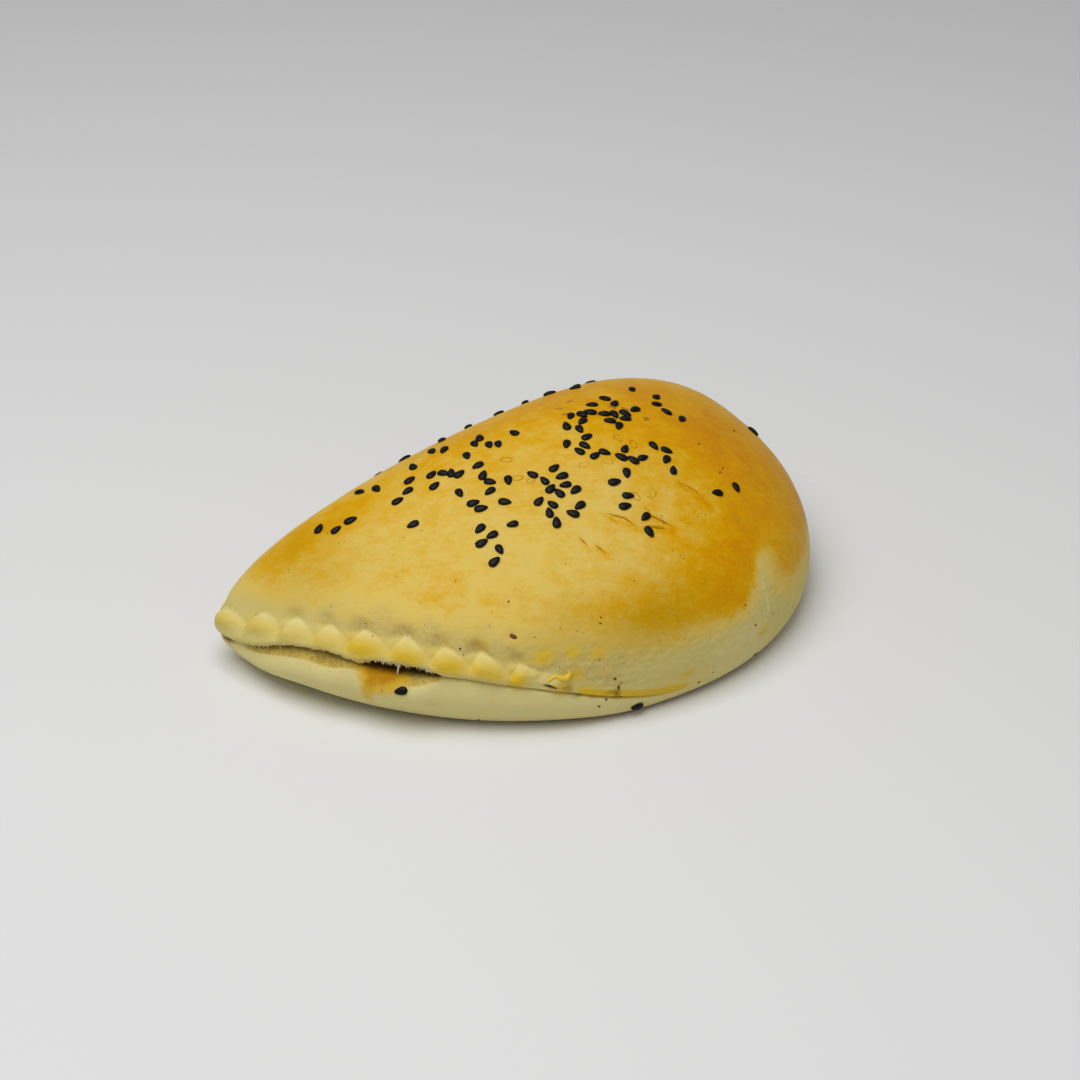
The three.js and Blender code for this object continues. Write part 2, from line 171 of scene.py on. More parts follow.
def skin(place, level):
    """Points of the skin in mm, with the height over the seam and the way outward.
    Level -1 is the foot, 0 the seam, 1 the top of the lip zone and 2 the crown."""
    place = np.where(place > RIM_LENGTH / 2, place - RIM_LENGTH, place)
    cut = section(place)
    dome, start = CROWN[2] - cut["widest"], dome_start(cut)
    bow = start + (np.pi / 2 - start) * np.clip(level - 1, 0, 1)
    base_z = cut["seam"] * np.clip(1 + level, 0, 1) ** BASE_CURVE
    z = np.where(level <= 0, base_z, cut["seam"] + LIP_ZONE * level)
    z = np.where(level > 1, cut["widest"] + dome * np.sin(bow) ** cut["rise"], z)
    climb = np.clip((z - cut["widest"]) / dome, 0, 1) ** (1 / cut["rise"])
    reach = np.clip(1 - climb ** 2, 0, 1) ** (cut["shoulder"] / 2)
    tuck = cut["inset"] * (1 - np.sqrt(1 - np.clip(1 - z / cut["widest"], 0, 1) ** 2))
    aside = TIP_ROUND + RIDGE_ROUND * (1 - reach)
    beside = [rim_point(rim_share(place + k * aside)) for k in (-1, -0.5, 0, 0.5, 1)]
    spoke = sum(beside) / len(beside) - CROWN[:2]
    spoke = spoke * (reach - tuck / np.linalg.norm(spoke, axis=-1))[..., None]
    height = z - cut["seam"]
    plan = CROWN[:2] + spoke + cut["outward"] * seam_relief(place, height)[..., None]
    x, y = plan[..., 0], plan[..., 1]
    wave = np.sin(x / SWELL_WAVE + 1) * np.cos(y / SWELL_WAVE) + np.sin((x + y) / (2 * SWELL_WAVE))
    z = z + SWELL * wave * ease(height, LIP_ZONE / 2, LIP_ZONE)
    return np.stack([x, y, z], -1), height, cut["outward"]


# Columns run up from the foot to the crown, close together along the pinched edge, and neighbours join
# into one on their way up the dome. Rings lie closest at the seam.
COLUMN_COUNT, FINE_STEP, COARSE_STEP, FINE_ALONG = 704, 0.42, 0.95, (-16, 128, 12)
along = np.linspace(-RIM_LENGTH / 2, RIM_LENGTH / 2, 6001)
crowding = 1 / (COARSE_STEP + (FINE_STEP - COARSE_STEP) * stretch(along, *FINE_ALONG))
crowding = np.concatenate([[0], np.cumsum((crowding[1:] + crowding[:-1]) / 2)])
columns = np.interp(np.arange(COLUMN_COUNT) / COLUMN_COUNT * crowding[-1], crowding, along)
SEAM_BAND, FOOT_RINGS, SEAM_RINGS, LIP_RINGS, DOME_RINGS = 3.2, 12, 40, 42, 76
seam = seam_height(columns)
foot_heights = [-seam + (seam - SEAM_BAND) * k for k in np.linspace(0, 1, FOOT_RINGS, endpoint=False)]
seam_heights = [seam * 0 + h for h in np.linspace(-SEAM_BAND, SEAM_BAND, SEAM_RINGS, endpoint=False)]
lip_heights = [seam * 0 + h for h in np.linspace(SEAM_BAND, LIP_ZONE, LIP_RINGS, endpoint=False)]
heights = np.array(foot_heights + seam_heights + lip_heights)
base_levels = np.clip(1 + heights / seam, 0, 1) ** (1 / BASE_CURVE) - 1
low_levels = np.where(heights < 0, base_levels, heights / LIP_ZONE)
dome_levels = 1 + np.linspace(0, 0.985, DOME_RINGS)
levels = np.concatenate([low_levels, np.repeat(dome_levels[:, None], COLUMN_COUNT, 1)])
JOIN_FROM = [(1.08, 2), (1.5, 4), (1.74, 8), (1.88, 16), (1.95, 32)]
group = np.ones(len(levels), int)
for from_level, joined in JOIN_FROM:
    group[len(low_levels):][dome_levels > from_level] = joined
places = np.repeat(columns[None], len(levels), 0)
for ring, joined in enumerate(group):
    places[ring] = np.repeat(places[ring].reshape(-1, joined).mean(1), joined)
points, height, outward = skin(places, levels)
ring_of, column_of = np.indices(levels.shape)
corner = ring_of * COLUMN_COUNT + column_of - column_of % group[:, None]

UNDER_SHARES = (0.985, 0.94, 0.8, 0.55, 0.28)
underside = [CROWN[:2] + (points[0, :, :2] - CROWN[:2]) * share for share in UNDER_SHARES]
underside = np.array([np.concatenate([ring, np.zeros((COLUMN_COUNT, 1))], 1) for ring in underside])
poles = [CROWN * (1, 1, 0), points[-1].mean(0) + (0, 0, 0.02)]
all_points = np.concatenate([points.reshape(-1, 3), underside.reshape(-1, 3), poles])
under_corner = np.arange(underside.shape[0] * COLUMN_COUNT).reshape(len(underside), -1)
grid = np.concatenate([under_corner[::-1] + len(levels) * COLUMN_COUNT, corner])
bottom, top = len(all_points) - 2, len(all_points) - 1
nearby = np.roll(grid, -1, 1)
quads = np.stack([grid[:-1], nearby[:-1], nearby[1:], grid[1:]], -1).reshape(-1, 4)
faces = [list(dict.fromkeys(quad)) for quad in quads.tolist()]
faces += [[bottom, b, a] for a, b in zip(grid[0], nearby[0])]
faces += [[top, a, b] for a, b in zip(grid[-1], nearby[-1])]
faces = [face for face in faces if len(set(face)) > 2]
used = np.unique(np.concatenate([np.array(face) for face in faces]))
renumbered = np.zeros(len(all_points), int)
renumbered[used] = np.arange(len(used))
faces = [[int(renumbered[v]) for v in face] for face in faces]


def spread(values, below=0.0, at_top=0.0):
    """Values of the skin's grid, followed by those of the underside and the crown, for the used points."""
    flat = values.reshape(-1, *values.shape[2:])
    rest = np.zeros((len(all_points) - len(flat), *flat.shape[1:]))
    rest[:] = below
    rest[-1] = at_top
    return np.concatenate([flat, rest])[used]


def plain_mesh(name, corners, sides, marks, edges=()):
    """A smooth mesh from corners in mm, with numbers or directions marked on its corners by name."""
    mesh = bpy.data.meshes.new(name)
    mesh.from_pydata((np.asarray(corners) * MM).tolist(), list(edges), sides)
    for mark, values in marks.items():
        kind, key = ("FLOAT", "value") if np.ndim(values) == 1 else ("FLOAT_VECTOR", "vector")
        layer = mesh.attributes.new(mark, kind, "POINT")
        layer.data.foreach_set(key, np.asarray(values, np.float32).ravel())
    mesh.shade_smooth()
    return mesh


# How the oven and the brush have left the dough: patches (middle, reach both ways, strength), the height
# where the glaze ends along the hem, drips of egg, and the sauce that leaked from the split.
# Painted highlight lies along the lobe crests, and painted shade in the split, the slits and behind the
# lobes.
EVEN_BAKE, FOLD_BAKE, FOLD_HALF = 0.5, 0.22, 0.9
BAKE_PATCHES = [
    (52, -14, 32, 34, 0.42), (20, 30, 60, 22, 0.22), (14, 8, 34, 20, 0.12), (-44, 19, 32, 9, 0.1),
    (-20, -27, 26, 16, -0.08), (-48, -21, 7, 5, 0.14), (26, -46, 20, 12, 0.3), (-14, -46, 16, 6, 0.16),
    (-62, 20, 18, 8, 0.2), (-2, -51, 20, 7, 0.14), (4, -41, 12, 8, -0.1)]
OCHRE_PATCHES = [
    (-66, 19, 14, 9, 0.3), (-70, 6, 12, 8, 0.18), (-3, -51.5, 18, 6, 0.5), (-27, -45, 12, 6, 0.24),
    (-60, 2, 12, 8, 0.08)]
FOLDS = [
    ((0, -27), (5.8, -33.5)), ((8.3, -33.7), (14, -36.6)), ((10.3, -31.2), (15.2, -36)),
    ((24.9, -25.4), (29.7, -33)), ((-9.8, -29.3), (-9.2, -32.5)), ((-7.4, -32.8), (-5.9, -35.9))]
HEM_PATH = [
    (-230, 12), (-60, 13), (-20, 17), (0, 20.5), (10, 22.5), (28, 26), (50, 27.4), (70, 26.4), (86, 25),
    (104, 23), (112, 22), (120, 19.5), (134, 18), (148, 17.5), (158, 17.5), (164, 21), (170, 26), (180, 26),
    (196, 17), (216, 14), (230, 12)]
HEM_SOFT = [(90, 5.5), (115, 6), (140, 5), (155, 3.4), (175, 3.6), (195, 5.5)]
FAR_SIDE = {"along": (163, 182), "up": (9, 22), "bake": 0.75}
EGG_SPOTS = [
    (103.3, 21, 2.2, 1.6, 0.8), (110.5, 20, 2.6, 1.8, 0.8), (89.2, 15.4, 1.8, 2.4, 0.8),
    (135.2, 9, 2.4, 1.2, 0.8), (96, 21, 3, 2.2, 0.8), (163, 10, 2, 1.4, 0.8), (105, 16, 2, 2, 0.8),
    (101, 13, 2.5, 2.5, 0.8)]
EGG_STREAK = {"along": (103, 138, 6), "up": 1.2, "half": 1.1, "egg": 2.2}
SMUDGES = [
    (105.2, 10, 1.6, 0.7, 0.7), (103.2, 11.6, 1.2, 1.6, 0.45), (115.4, 8.8, 1.0, 1.5, 0.8),
    (113.6, 9.6, 1.4, 0.6, 0.5), (116.4, 11.4, 0.7, 0.9, 0.4), (101.6, 13, 1.4, 1.0, 0.35),
    (109.5, 8.9, 2.4, 0.4, 0.4)]
NOTCH_AT, LOBE_DIP = 0.72, 2.4
LOBE_GLAZE = [0, 0, 0.4, 0.5, 0.42, 0.6, 1, 1, 0.95, 0.8, 0.65, 0.35, 0]
GLAZE_ON_LOBE = {"aside": 0.14, "down": 1.9, "reach": 3.7}
# Where the painted highlight lies along the lobe crests.
LOBE_HIGHLIGHT = {"along": (-4, 100, 12), "up": 0.4, "half": 0.5, "share": 0.55}
DULL_ALONG = [
    (-14, 0), (0, 0.12), (28, 0.2), (48, 0.5), (112, 0.45), (122, 0.16), (139, 0.14), (157, 0.05),
    (172, 0.12), (190, 0)]
# Finger dents behind the lobes; their extra share of the dull tone is painted shade.
DENTS = {"along": (14, 98, 14), "aside": 0.06, "slant": 0.05, "half": 0.46, "dull_and_shade": 0.18}
# How far the painted shade reaches in the split, and the painted shade in the slit at the tip.
DEEP_SPLIT, THIN_SPLIT, THIN_DARK = (47, 51), (16, 26), 0.5
TIP_SLIT = {"at": 5.5, "half": 4.5, "up": -0.2, "reach": 1.4, "painted_shade": 0.8}
STAIN = {"from": (44.5, 53), "to": (57, 66), "lean": (0.8, 0.4), "low": (-8.5, -0.5), "high": (1.5, 3)}
UNDER_HEM = {"along": (138, 172, 12), "up": (11, 18)}
HEM_DULL = {"share": 0.8, "from": (92, 108), "up": (1.5, 5)}
BARE_HEM = {"along": (78, 198, 18), "up": (0.5, 4), "bake": (0.15, 0.5)}
DRIP = {"at": 52, "half": 3.5, "share": 0.4}


def bell(x, half):
    return np.exp(-(x / half) ** 2)


def patches(spots, across, up):
    """The sum of soft patches, each given by its middle, its reach both ways and its strength."""
    return sum(more * bell(across - u, long) * bell(up - v, wide) for u, v, long, wide, more in spots)


x, y, z = points[..., 0], points[..., 1], points[..., 2]
beside_fold = []
for (u0, v0), (u1, v1) in FOLDS:
    share = ((x - u0) * (u1 - u0) + (y - v0) * (v1 - v0)) / ((u1 - u0) ** 2 + (v1 - v0) ** 2)
    share = np.clip(share, 0, 1)
    beside_fold.append(np.hypot(x - u0 - share * (u1 - u0), y - v0 - share * (v1 - v0)))
bake = EVEN_BAKE + FOLD_BAKE * bell(np.min(beside_fold, 0), FOLD_HALF) + patches(BAKE_PATCHES, x, y)
hem, soft, dull_share = (np.interp(places, *np.array(path).T) for path in (HEM_PATH, HEM_SOFT, DULL_ALONG))
bake = bake * ease(z, hem - soft, hem + 1 + soft)
far_side = FAR_SIDE["bake"] * ease(places, *FAR_SIDE["along"]) * ease(z, *FAR_SIDE["up"])
bake = np.maximum(bake, far_side)
ochre = patches(OCHRE_PATCHES, x, y) * ease(z, hem - soft, hem + 1)
streak = EGG_STREAK["egg"] * stretch(places, *EGG_STREAK["along"])
streak = streak * bell(height - EGG_STREAK["up"], EGG_STREAK["half"])
lobe_turn = np.interp(places, CRESTS[:, 0], np.arange(len(CRESTS)))
crest = np.interp(places, CRESTS[:, 0], CRESTS[:, 1])
over_crest = height - crest
lobe_number = np.round(lobe_turn - 0.08).astype(int)
beside_lobe = lobe_turn - GLAZE_ON_LOBE["aside"] - lobe_number
lobe_glaze = np.array(LOBE_GLAZE)[lobe_number] * hump(beside_lobe, 1.0)
lobe_glaze = lobe_glaze * hump(over_crest + GLAZE_ON_LOBE["down"], GLAZE_ON_LOBE["reach"])
egg = np.clip(patches(EGG_SPOTS, places, z) + streak + lobe_glaze * stretch(places, *PINCHED), 0, 1)
past_crest = lobe_turn % 1
past_notch = 1 + (past_crest - NOTCH_AT) / (1 - NOTCH_AT)
lobe_way = np.where(past_crest < NOTCH_AT, past_crest / NOTCH_AT, past_notch)
lobe_full = np.sqrt(0.5 + 0.5 * np.cos(np.pi * lobe_way))
# Painted highlight: a pale cream band along each lobe's crest, where the light catches it.
over_edge = over_crest + LOBE_DIP * (1 - lobe_full) - LOBE_HIGHLIGHT["up"]
crest_highlight = LOBE_HIGHLIGHT["share"] * bell(over_edge, LOBE_HIGHLIGHT["half"]) * lobe_full
crest_highlight = crest_highlight * stretch(places, *LOBE_HIGHLIGHT["along"])
gap, up = split_gap(places), opening(places, height)
split_open = ease(gap, 0.05, 0.4)
torn = ease(up, 0.02, 0.14) * (1 - ease(up, 0.96, 1)) * split_open
deep = ease(places, *DEEP_SPLIT)
# Painted shade: dark brown under the lip in the torn split, deepest where it gapes wide, a thin line under
# the lip where it is shallow, and in the slits under the flake and at the tip.
thin_dark = THIN_DARK * ease(places, *THIN_SPLIT) * (1 - deep) * ease(up, 0.62, 0.78)
painted_shade = torn * (thin_dark + deep * ease(up, 0.26, 0.5))
painted_shade = painted_shade + dab(places, height - 0.3, FLAKE_SLIT) + TIP_SLIT["painted_shade"] * dab(places, height, TIP_SLIT)
painted_shade = np.clip(painted_shade, 0, 1)
under_seam = np.clip(-height, 0, 20)
stain = ease(places - STAIN["lean"][0] * under_seam, *STAIN["from"])
stain = stain * (1 - ease(places + STAIN["lean"][1] * under_seam, *STAIN["to"]))
stain = stain * ease(height, *STAIN["low"]) * (1 - ease(height, *STAIN["high"]))
drip = DRIP["share"] * hump(places - DRIP["at"], DRIP["half"])
stain = np.clip(stain + drip * ease(z, 1, 9) * (1 - ease(height, -4, 0)), 0, 1)
dent_turn = lobe_turn + DENTS["aside"] + DENTS["slant"] * over_crest
dented = hump(dent_turn - np.round(dent_turn), DENTS["half"]) * stretch(places, *DENTS["along"])
dented = dented * ease(over_crest, -0.4, 0.6) * (1 - ease(over_crest, 1.5, 5))
under_hem = stretch(places, *UNDER_HEM["along"]) * (1 - ease(z, *UNDER_HEM["up"]))
under = np.maximum(1 - ease(height, -0.6, 1.2), under_hem)
# Dull tone above the lobe crests: partly the unglazed dough's own colour, partly painted shade behind the
# crests and in the finger dents.
dull_and_shade = ease(over_crest, -0.3, 0.9) * (dull_share + DENTS["dull_and_shade"] * dented)
hem_dull = HEM_DULL["share"] * dull_share * ease(places, *HEM_DULL["from"]) * ease(height, *HEM_DULL["up"])
dull_and_shade = np.maximum(dull_and_shade, hem_dull)
foot = 1 - ease(z, 0.2, 1.6)
bare_hem = (1 - ease(bake, *BARE_HEM["bake"])) * stretch(places, *BARE_HEM["along"])
bare_hem = bare_hem * ease(height, *BARE_HEM["up"])
ragged = np.maximum(torn, hump(height - SEAM_HALF - gap, 1.0) * split_open)
marks = {
    "place": places, "pinched": stretch(places, *PINCHED), "turn": lobe_turn, "crest": crest, "gap": gap,
    "ragged": ragged, "outward": np.concatenate([outward, outward[..., :1] * 0], -1), "bare_hem": bare_hem,
    "egg": egg, "torn": torn, "stain": stain, "painted_shade": painted_shade, "dull_and_shade": dull_and_shade, "ochre": ochre,
    "smudge": patches(SMUDGES, places, z), "crest_highlight": crest_highlight}
marks = {name: spread(values) for name, values in marks.items()}
marks.update({
    "height": spread(height, -20, 40), "bake": spread(bake, 0.7, bake[-1].mean()), "foot": spread(foot, 1.0),
    "under": spread(under, 1.0)})
dough_mesh = plain_mesh("calzone_dough", all_points[used], faces, marks)


def node(tree, kind, inputs=None, out=0, **settings):
    """Adds a node with its settings. Inputs are values or the outputs of other nodes."""
    made = tree.nodes.new(kind)
    for name, value in settings.items():
        setattr(made, name, value)
    for key, value in (inputs or {}).items():
        if isinstance(value, bpy.types.NodeSocket):
            tree.links.new(value, made.inputs[key])
        else:
            made.inputs[key].default_value = value
    return made.outputs[out] if len(made.outputs) else made


def calc(tree, operation, *values):
    return node(tree, "ShaderNodeMath", dict(enumerate(values)), operation=operation)


def product(tree, value, *factors):
    for factor in factors:
        value = calc(tree, "MULTIPLY", value, factor)
    return value


def scaled(tree, vector, by):
    return node(tree, "ShaderNodeVectorMath", {0: vector, "Scale": by}, operation="SCALE")


def stretched(tree, vector, by):
    return node(tree, "ShaderNodeVectorMath", {0: vector, 1: by}, operation="MULTIPLY")


def ramp(tree, value, low=0.0, high=1.0, start=0.0, stop=1.0, **settings):
    """A value's way from low to high, laid out from start to stop."""
    return node(tree, "ShaderNodeMapRange", {0: value, 1: low, 2: high, 3: start, 4: stop}, **settings)


def eased(tree, value, low, high, start=0.0, stop=1.0, easing="SMOOTHSTEP"):
    return ramp(tree, value, low, high, start, stop, interpolation_type=easing)


def noise(tree, size, detail, roughness=0.5, at=None):
    """Noise with forms of a size in metres, over the object's own spots unless others are given."""
    at = node(tree, "ShaderNodeTexCoord", out="Object") if at is None else at
    inputs = {"Vector": at, "Scale": 1 / size, "Detail": detail, "Roughness": roughness}
    return node(tree, "ShaderNodeTexNoise", inputs)


def marked(tree, name, kind="FLOAT"):
    return node(tree, "GeometryNodeInputNamedAttribute", {"Name": name}, data_type=kind)


def new_tree(name, sizes):
    """A geometry tree with a geometry input and output, a named input for each size, and a finish."""
    tree = bpy.data.node_groups.new(name, "GeometryNodeTree")
    tree.interface.new_socket("Geometry", in_out="OUTPUT", socket_type="NodeSocketGeometry")
    tree.interface.new_socket("Geometry", in_out="INPUT", socket_type="NodeSocketGeometry")
    for size in sizes:
        tree.interface.new_socket(size, in_out="INPUT", socket_type="NodeSocketFloat")
    tree.interface.new_socket("Finish", in_out="INPUT", socket_type="NodeSocketMaterial")
    given = tree.nodes.new("NodeGroupInput")
    return tree, given.outputs


def end_tree(tree, geometry, finish):
    """Ends a tree in one plain, smooth mesh with its material."""
    geometry = node(tree, "GeometryNodeRealizeInstances", {"Geometry": geometry})
    geometry = node(tree, "GeometryNodeSetShadeSmooth", {"Geometry": geometry})
    geometry = node(tree, "GeometryNodeSetMaterial", {"Geometry": geometry, "Material": finish})
    node(tree, "NodeGroupOutput", {"Geometry": geometry})


def added(name, data):
    thing = bpy.data.objects.new(name, data)
    bpy.context.scene.collection.objects.link(thing)
    return thing


def grown(name, mesh, tree, sizes, finish):
    """The mesh with the tree's result applied, as a plain mesh object at the origin."""
    piece = added(name, mesh)
    modifier = piece.modifiers.new(tree.name, "NODES")
    modifier.node_group = tree
    for item in tree.interface.items_tree:
        if item.in_out == "INPUT" and item.name in sizes:
            modifier[item.identifier] = sizes[item.name]
        elif item.in_out == "INPUT" and item.name == "Finish":
            modifier[item.identifier] = finish
    made = bpy.data.meshes.new_from_object(piece.evaluated_get(bpy.context.evaluated_depsgraph_get()))
    piece.modifiers.remove(modifier)
    piece.data = made
    made.name = name
    return piece


def linear(code):
    """An sRGB hex colour as linear red, green, blue and alpha."""
    parts = [int(code[k:k + 2], 16) / 255 for k in (1, 3, 5)]
    return [p / 12.92 if p <= 0.04045 else ((p + 0.055) / 1.055) ** 2.4 for p in parts] + [1.0]


def tinted(tree, share, under, over):
    """One colour laid over another by a share. Colours are hex codes or the outputs of other nodes."""
    under, over = (linear(tone) if isinstance(tone, str) else tone for tone in (under, over))
    return node(tree, "ShaderNodeMix", {0: share, 6: under, 7: over}, 2, data_type="RGBA")


def bumped(tree, height, strength, depth, over=None):
    inputs = {"Strength": strength, "Distance": depth, "Height": height}
    return node(tree, "ShaderNodeBump", {**inputs, "Normal": over} if over is not None else inputs)


def new_material(name):
    material = bpy.data.materials.new(name)
    material.use_nodes = True
    material.node_tree.nodes.clear()
    return material, material.node_tree


def surface(tree, tint, rough, looks=()):
    looks = {"Base Color": tint, "Roughness": rough, **dict(looks)}
    lit = node(tree, "ShaderNodeBsdfPrincipled", looks)
    node(tree, "ShaderNodeOutputMaterial", {"Surface": lit})


# Egg-washed bread crust: wheat dough that the oven has browned under a thin brushed coat of egg. It
# gives a warm yellow to amber ground with a soft gloss, fading to matt cream where no egg was brushed.
crust, shade = new_material("egg_washed_crust")
mark = {name: node(shade, "ShaderNodeAttribute", out="Fac", attribute_name=name)
        for name in ("bake", "egg", "torn", "stain", "painted_shade", "dull_and_shade", "foot", "smudge", "ochre", "under",
                     "crest_highlight")}
BLOTCH, PATCH, GRAIN, HEM_SPOT = 24 * MM, 5.5 * MM, 0.8 * MM, 4.5 * MM
STROKE, STROKE_TURN, STROKE_STRETCH = 1.1 * MM, 0.61, (0.14, 1.0, 1.0)
blotch = noise(shade, BLOTCH, 3.0, 0.55)
patch = noise(shade, PATCH, 4.0, 0.62)
grain = noise(shade, GRAIN, 3.0, 0.65)
turned = {"Vector": node(shade, "ShaderNodeTexCoord", out="Object"), "Angle": STROKE_TURN}
turned = node(shade, "ShaderNodeVectorRotate", turned, rotation_type="Z_AXIS")
strokes = noise(shade, STROKE, 3.0, 0.6, stretched(shade, turned, STROKE_STRETCH))
uneven = ramp(shade, blotch, 0.3, 0.7, -0.07, 0.07, clamp=False)
for ground, by in ((patch, 0.11), (grain, 0.06), (strokes, 0.06)):
    change = ramp(shade, ground, 0.3, 0.7, -by, by, clamp=False)
    uneven = calc(shade, "ADD", uneven, change)
browned = calc(shade, "ADD", mark["bake"], uneven)
to_yellow = eased(shade, browned, 0.02, 0.42)
to_gold = eased(shade, browned, 0.36, 0.8)
to_amber = eased(shade, browned, 0.66, 1.14)
# DULL serves both the unglazed dough's own dull tone and painted shade behind the lobe crests.
BASE, PALE, DULL, YELLOW, GOLD, AMBER = "#dbce8d", "#d8c87c", "#b39a58", "#e0c263", "#dca608", "#d08002"
# The pale cream laid on the lobe crests is a painted highlight.
OCHRE, EGG_YELLOW, HIGHLIGHT_CREAM, OIL, SAUCE = "#aa870a", "#dab528", "#f0e5a6", "#d8ae2e", "#b07804"
CRUMB, PORE_SHADE, SMUDGE, SHADE, TRAY_BROWN = "#cdb35c", "#b89c4c", "#6a4a12", "#301a0a", "#a8742a"
CRUMB_PORE = 0.9 * MM
# The dull tone broken by grain: the unglazed dough's own colour, and painted shade behind the lobe crests
# and in the dents.
dull_and_shade_grain = ramp(shade, grain, 0.3, 0.7, 0.45, 1.55, clamp=False)
dull_and_shade_grain = product(shade, mark["dull_and_shade"], dull_and_shade_grain)
drips = eased(shade, noise(shade, HEM_SPOT, 2.0), 0.54, 0.7, 0.0, 0.5)
drips = product(shade, drips, mark["dull_and_shade"])
egg_share = ramp(shade, calc(shade, "ADD", mark["egg"], uneven), 0.08, 0.9, 0.0, 0.92)
egg_share = calc(shade, "MAXIMUM", egg_share, drips)
pitted = eased(shade, noise(shade, CRUMB_PORE, 3.0), 0.36, 0.6)
crumb = tinted(shade, pitted, PORE_SHADE, CRUMB)
stain_share = calc(shade, "ADD", mark["stain"], uneven)
stain_thin = eased(shade, stain_share, 0.02, 0.6, 0.0, 0.9)
stain_thick = eased(shade, stain_share, 0.5, 1.1, 0.0, 0.9)
smudge_share = ramp(shade, product(shade, patch, mark["smudge"]), 0.04, 0.5, 0.0, 0.85)
# Painted shade in the split and the slits, laid in the darkest brown.
painted_shade_share = product(shade, mark["painted_shade"], 0.88)
foot_share = ramp(shade, calc(shade, "ADD", mark["foot"], uneven), 0.3, 1.0, 0.0, 0.8)
tint = tinted(shade, mark["under"], PALE, BASE)
# The layers include painted highlight on the lobe crests and painted shade, in the dull tone behind the
# crests and in the darkest brown in the split.
layers = [
    (dull_and_shade_grain, DULL), (to_yellow, YELLOW), (to_gold, GOLD), (to_amber, AMBER), (mark["ochre"], OCHRE),
    (egg_share, EGG_YELLOW), (mark["crest_highlight"], HIGHLIGHT_CREAM), (mark["torn"], crumb), (stain_thin, OIL),
    (stain_thick, SAUCE), (smudge_share, SMUDGE), (painted_shade_share, SHADE), (foot_share, TRAY_BROWN)]
for share, tone in layers:
    tint = tinted(shade, share, tint, tone)
glazed = calc(shade, "MAXIMUM", to_yellow, egg_share)
rough = ramp(shade, glazed, 0.0, 1.0, 0.65, 0.42)
PORE, DIMPLE = 0.55 * MM, 1.7 * MM
pores, dimples = noise(shade, PORE, 2.0), noise(shade, DIMPLE, 2.0, 0.6)
bump = None
reliefs = [(pores, 0.4, 0.18), (dimples, 0.4, 0.4), (patch, 0.3, 0.5), (strokes, 0.25, 0.25)]
for ground, strength, depth in reliefs:
    bump = bumped(shade, ground, strength, depth * MM, bump)
surface(shade, tint, rough, {
    "Normal": bump, "IOR": 1.45, "Specular IOR Level": 0.06, "Specular Tint": (1.0, 0.75, 0.3, 1.0),
    "Subsurface Weight": 0.1, "Subsurface Radius": (1.0, 0.55, 0.25), "Subsurface Scale": 1.5 * MM})

# The pinched lip: fingers press the rolled edge into lobes, each laid a little over the next like rope,
# and dent the dome behind. The tree pushes the skin in and out, then roughens it as dough is.
lip_sizes = {
    "Notch at": NOTCH_AT, "Lobe roundness": 0.5, "Lobe dip": LOBE_DIP, "Valley share": 0.3, "Lip out": 1.8,
    "Lip foot": 0.8, "Lip face": 2.4, "Crest edge": 0.7, "Pillow out": 0.8, "Pillow down": 1.5,
    "Pillow reach": 3.3, "Dent aside": -0.06, "Dent slant": 0.05, "Dent below": 0.4, "Dent above": 5.0,
    "Dent half": 0.46, "Dent depth": 1.8, "Dents from": 12.0, "Dents full": 34.0, "Lump size": 9.0,
    "Lump depth": 0.35, "Crumb size": 1.1, "Crumb depth": 0.9, "Crease size": 2.4, "Crease depth": 0.8}
lip, size = new_tree("Pinched lip", lip_sizes)
place_at, height_at, pinched_at, ragged_at, turn, crest_at, gap_at, hem_at = (
    marked(lip, name)
    for name in ("place", "height", "pinched", "ragged", "turn", "crest", "gap", "bare_hem"))
outward_at = marked(lip, "outward", "FLOAT_VECTOR")
spot_mm = scaled(lip, node(lip, "GeometryNodeInputPosition"), 1 / MM)
past_crest = calc(lip, "FRACT", turn)
to_notch = ramp(lip, past_crest, 0.0, size["Notch at"], 0.0, math.pi)
from_notch = ramp(lip, past_crest, size["Notch at"], 1.0, 0.0, math.pi)
wave = calc(lip, "COSINE", calc(lip, "ADD", to_notch, from_notch))
lobe = ramp(lip, wave, -1.0, 1.0)
lobe = calc(lip, "POWER", lobe, size["Lobe roundness"])
valley = calc(lip, "SUBTRACT", 1.0, lobe)
over_crest = calc(lip, "SUBTRACT", height_at, crest_at)
sunk = calc(lip, "MULTIPLY_ADD", valley, size["Lobe dip"], over_crest)
edge = product(lip, size["Crest edge"], -1.0)
over_gap = product(lip, gap_at, size["Lip foot"])
over_gap = calc(lip, "SUBTRACT", height_at, over_gap)
face = eased(lip, over_gap, -0.2, size["Lip face"])
behind = eased(lip, sunk, edge, 0.2, 1.0, 0.0)
notch = eased(lip, over_crest, -6.0, -1.5, 0.92, size["Valley share"])
full = ramp(lip, lobe, 0.0, 1.0, notch, 1.0)
ledge = product(lip, face, full, size["Lip out"])
belly = calc(lip, "ABSOLUTE", calc(lip, "ADD", sunk, size["Pillow down"]))
belly = eased(lip, belly, 0.0, size["Pillow reach"], 1.0, 0.0)
belly = product(lip, belly, lobe)
ledge = calc(lip, "MULTIPLY_ADD", belly, size["Pillow out"], ledge)
ledge = product(lip, ledge, behind)
slanted = calc(lip, "MULTIPLY_ADD", over_crest, size["Dent slant"], turn)
aside = calc(lip, "SUBTRACT", slanted, size["Dent aside"])
nearest = calc(lip, "ROUND", aside)
VARIED = {2: 0.65, 3: 1.15, "Seed": 7}
varied = node(lip, "FunctionNodeRandomValue", {**VARIED, "ID": nearest}, 1, data_type="FLOAT")
aside = calc(lip, "ABSOLUTE", calc(lip, "SUBTRACT", aside, nearest))
dent = eased(lip, aside, 0.0, size["Dent half"], 1.0, 0.0)
